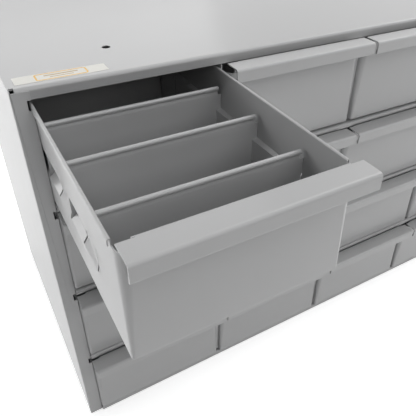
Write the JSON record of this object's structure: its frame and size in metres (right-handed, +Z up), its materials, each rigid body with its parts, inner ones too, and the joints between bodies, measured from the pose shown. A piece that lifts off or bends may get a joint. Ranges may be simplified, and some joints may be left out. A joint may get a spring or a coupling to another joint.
{
  "type": "parts bin cabinet",
  "caption": "Low sheet-metal cabinet with a grid of pull-out bins, each with a full-width folded handle and lift-out dividers; one bin stands open.",
  "frame": {"origin": "on the surface that the case stands on, under the middle of the flange that is folded back from the front sill", "axes": "+X along the width, from the first column to the last as seen from the front; -Y out of the front; +Z up"},
  "size_m": [0.857, 0.667, 0.5362],
  "materials": {
    "case_paint": "smooth semi-gloss light grey enamel",
    "bin_paint": "smooth semi-gloss light grey enamel",
    "handle_paint": "smooth semi-gloss light grey enamel",
    "divider_paint": "smooth semi-gloss light grey enamel",
    "label_paper": "matt coated paper label with a plain printed frame"
  },
  "bodies": {
    "case": {"top_panel": "case_paint", "left_side": "case_paint", "right_side": "case_paint", "back_panel": "case_paint", "bottom_panel": "case_paint", "shelf_upper": "case_paint", "shelf_middle": "case_paint", "shelf_lower": "case_paint", "partitions": "case_paint", "label": "label_paper"},
    "drawer_1_1": {"bin_1_1": "bin_paint", "handle_1_1": "handle_paint"},
    "drawer_1_2": {"bin_1_2": "bin_paint", "handle_1_2": "handle_paint", "dividers_1_2": "divider_paint"},
    "drawer_1_3": {"bin_1_3": "bin_paint", "handle_1_3": "handle_paint", "dividers_1_3": "divider_paint"},
    "drawer_1_4": {"bin_1_4": "bin_paint", "handle_1_4": "handle_paint", "dividers_1_4": "divider_paint"},
    "drawer_2_1": {"bin_2_1": "bin_paint", "handle_2_1": "handle_paint", "dividers_2_1": "divider_paint"},
    "drawer_2_2": {"bin_2_2": "bin_paint", "handle_2_2": "handle_paint", "dividers_2_2": "divider_paint"},
    "drawer_2_3": {"bin_2_3": "bin_paint", "handle_2_3": "handle_paint", "dividers_2_3": "divider_paint"},
    "drawer_2_4": {"bin_2_4": "bin_paint", "handle_2_4": "handle_paint", "dividers_2_4": "divider_paint"},
    "drawer_3_1": {"bin_3_1": "bin_paint", "handle_3_1": "handle_paint", "dividers_3_1": "divider_paint"},
    "drawer_3_2": {"bin_3_2": "bin_paint", "handle_3_2": "handle_paint", "dividers_3_2": "divider_paint"},
    "drawer_3_3": {"bin_3_3": "bin_paint", "handle_3_3": "handle_paint", "dividers_3_3": "divider_paint"},
    "drawer_3_4": {"bin_3_4": "bin_paint", "handle_3_4": "handle_paint", "dividers_3_4": "divider_paint"},
    "drawer_4_1": {"bin_4_1": "bin_paint", "handle_4_1": "handle_paint", "dividers_4_1": "divider_paint"},
    "drawer_4_2": {"bin_4_2": "bin_paint", "handle_4_2": "handle_paint", "dividers_4_2": "divider_paint"},
    "drawer_4_3": {"bin_4_3": "bin_paint", "handle_4_3": "handle_paint", "dividers_4_3": "divider_paint"},
    "drawer_4_4": {"bin_4_4": "bin_paint", "handle_4_4": "handle_paint", "dividers_4_4": "divider_paint"},
    "divider_front": {"divider_front": "divider_paint"},
    "divider_middle": {"divider_middle": "divider_paint"},
    "divider_rear": {"divider_rear": "divider_paint"}
  },
  "joints": [
    {"name": "slide_1_1", "type": "slide", "parent": "case", "child": "drawer_1_1", "axis": [0, -1, 0], "range_m": [-0.22, 0.11]},
    {"name": "slide_1_2", "type": "slide", "parent": "case", "child": "drawer_1_2", "axis": [0, -1, 0], "range_m": [0, 0.33]},
    {"name": "slide_1_3", "type": "slide", "parent": "case", "child": "drawer_1_3", "axis": [0, -1, 0], "range_m": [0, 0.33]},
    {"name": "slide_1_4", "type": "slide", "parent": "case", "child": "drawer_1_4", "axis": [0, -1, 0], "range_m": [0, 0.33]},
    {"name": "slide_2_1", "type": "slide", "parent": "case", "child": "drawer_2_1", "axis": [0, -1, 0], "range_m": [0, 0.33]},
    {"name": "slide_2_2", "type": "slide", "parent": "case", "child": "drawer_2_2", "axis": [0, -1, 0], "range_m": [0, 0.33]},
    {"name": "slide_2_3", "type": "slide", "parent": "case", "child": "drawer_2_3", "axis": [0, -1, 0], "range_m": [0, 0.33]},
    {"name": "slide_2_4", "type": "slide", "parent": "case", "child": "drawer_2_4", "axis": [0, -1, 0], "range_m": [0, 0.33]},
    {"name": "slide_3_1", "type": "slide", "parent": "case", "child": "drawer_3_1", "axis": [0, -1, 0], "range_m": [0, 0.33]},
    {"name": "slide_3_2", "type": "slide", "parent": "case", "child": "drawer_3_2", "axis": [0, -1, 0], "range_m": [0, 0.33]},
    {"name": "slide_3_3", "type": "slide", "parent": "case", "child": "drawer_3_3", "axis": [0, -1, 0], "range_m": [0, 0.33]},
    {"name": "slide_3_4", "type": "slide", "parent": "case", "child": "drawer_3_4", "axis": [0, -1, 0], "range_m": [0, 0.33]},
    {"name": "slide_4_1", "type": "slide", "parent": "case", "child": "drawer_4_1", "axis": [0, -1, 0], "range_m": [0, 0.33]},
    {"name": "slide_4_2", "type": "slide", "parent": "case", "child": "drawer_4_2", "axis": [0, -1, 0], "range_m": [0, 0.33]},
    {"name": "slide_4_3", "type": "slide", "parent": "case", "child": "drawer_4_3", "axis": [0, -1, 0], "range_m": [0, 0.33]},
    {"name": "slide_4_4", "type": "slide", "parent": "case", "child": "drawer_4_4", "axis": [0, -1, 0], "range_m": [0, 0.33]},
    {"name": "divider_front_lift", "type": "slide", "parent": "drawer_1_1", "child": "divider_front", "axis": [0, 0, 1], "range_m": [0, 0.1]},
    {"name": "divider_middle_lift", "type": "slide", "parent": "drawer_1_1", "child": "divider_middle", "axis": [0, 0, 1], "range_m": [0, 0.1]},
    {"name": "divider_rear_lift", "type": "slide", "parent": "drawer_1_1", "child": "divider_rear", "axis": [0, 0, 1], "range_m": [0, 0.1]}
  ]
}
